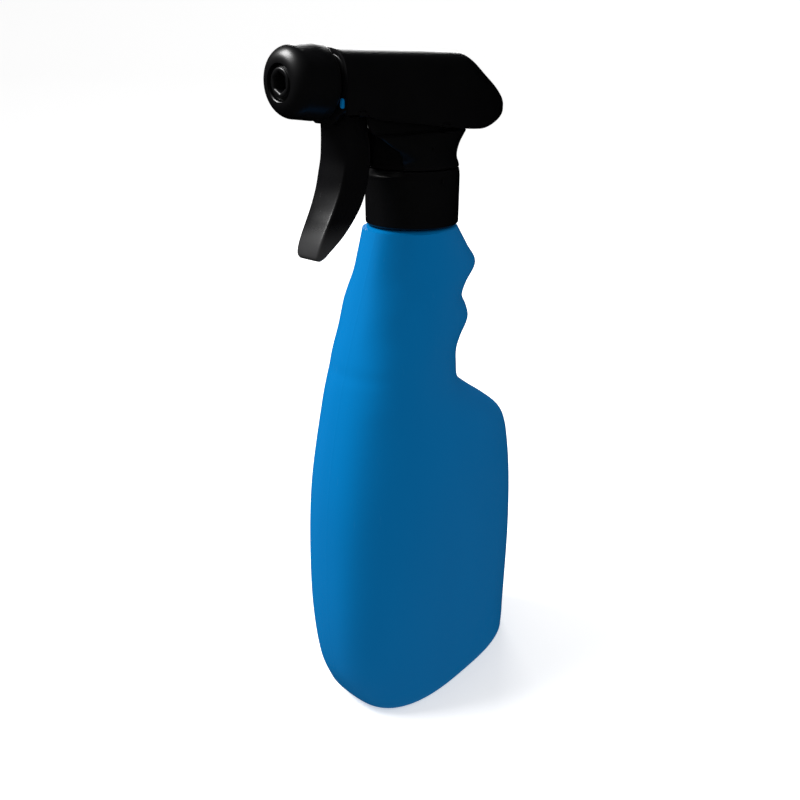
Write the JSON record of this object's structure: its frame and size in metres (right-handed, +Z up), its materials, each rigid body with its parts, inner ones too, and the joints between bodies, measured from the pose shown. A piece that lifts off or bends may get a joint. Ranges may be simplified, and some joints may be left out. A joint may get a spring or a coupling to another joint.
{
  "type": "trigger spray bottle",
  "caption": "Slim waisted bottle with two finger grips at the back, a screw collar and a trigger sprayer with a round turning nozzle.",
  "frame": {"origin": "centre of the overall box on the surface the bottle stands on; the neck's axis passes through it", "axes": "+Z up along the neck, -X the way it sprays, +Y across the bottle"},
  "size_m": [0.12, 0.056, 0.27],
  "materials": {
    "bottle_blue": "satin blow-moulded",
    "black_plastic": "moulded semi-gloss",
    "natural_plastic": "natural moulded",
    "seal_rubber": "soft",
    "spring_steel": "bright wire"
  },
  "bodies": {
    "bottle_body": {"bottle": "bottle_blue"},
    "head": {"pump_body": "black_plastic", "neck_cover": "black_plastic", "shroud": "black_plastic", "trigger_pin": "spring_steel", "nozzle_base": "black_plastic", "nozzle_seal": "seal_rubber", "swirl_core": "natural_plastic", "chamber_plug": "natural_plastic", "inlet_seat": "natural_plastic", "dip_tube": "natural_plastic", "neck_gasket": "seal_rubber", "return_spring": "spring_steel", "outlet_spring": "spring_steel"},
    "screw_collar": {"collar": "black_plastic"},
    "trigger_lever": {"trigger": "black_plastic"},
    "piston_group": {"piston": "natural_plastic", "vent_seal": "seal_rubber", "pressure_seal": "seal_rubber"},
    "nozzle": {"nozzle_cap": "black_plastic", "nozzle_insert": "black_plastic"},
    "inlet_valve": {"inlet_ball": "spring_steel"},
    "outlet_valve": {"outlet_ball": "spring_steel"}
  },
  "joints": [
    {"name": "head_lift", "type": "slide", "parent": "bottle_body", "child": "head", "axis": [0, 0, 1], "range_m": [0, 0.22]},
    {"name": "collar_turn", "type": "hinge", "parent": "head", "child": "screw_collar", "pos_m": [0, 0, 0.22], "axis": [0, 0, 1], "range_deg": [0, 540]},
    {"name": "trigger_pull", "type": "hinge", "parent": "head", "child": "trigger_lever", "pos_m": [-0.0335, 0, 0.264], "axis": [0, -1, 0], "range_deg": [0, 18], "stiffness_Nm_per_rad": 0.8, "springref_deg": -8.59},
    {"name": "piston_slide", "type": "slide", "parent": "head", "child": "piston_group", "axis": [1, 0, 0], "range_m": [0, 0.0057], "deforming": ["return_spring"]},
    {"name": "nozzle_turn", "type": "hinge", "parent": "head", "child": "nozzle", "pos_m": [-0.05, 0, 0.25885], "axis": [-1, 0, 0], "continuous": true},
    {"name": "inlet_ball_lift", "type": "slide", "parent": "head", "child": "inlet_valve", "axis": [0, 0, 1], "range_m": [0, 0.0013]},
    {"name": "outlet_ball_lift", "type": "slide", "parent": "head", "child": "outlet_valve", "axis": [0, 0, 1], "range_m": [0, 0.001], "stiffness_N_per_m": 40, "deforming": ["outlet_spring"]}
  ],
  "couplings": [
    {"joint": "piston_slide", "follows": "trigger_pull", "m_per_rad": 0.0174}
  ]
}
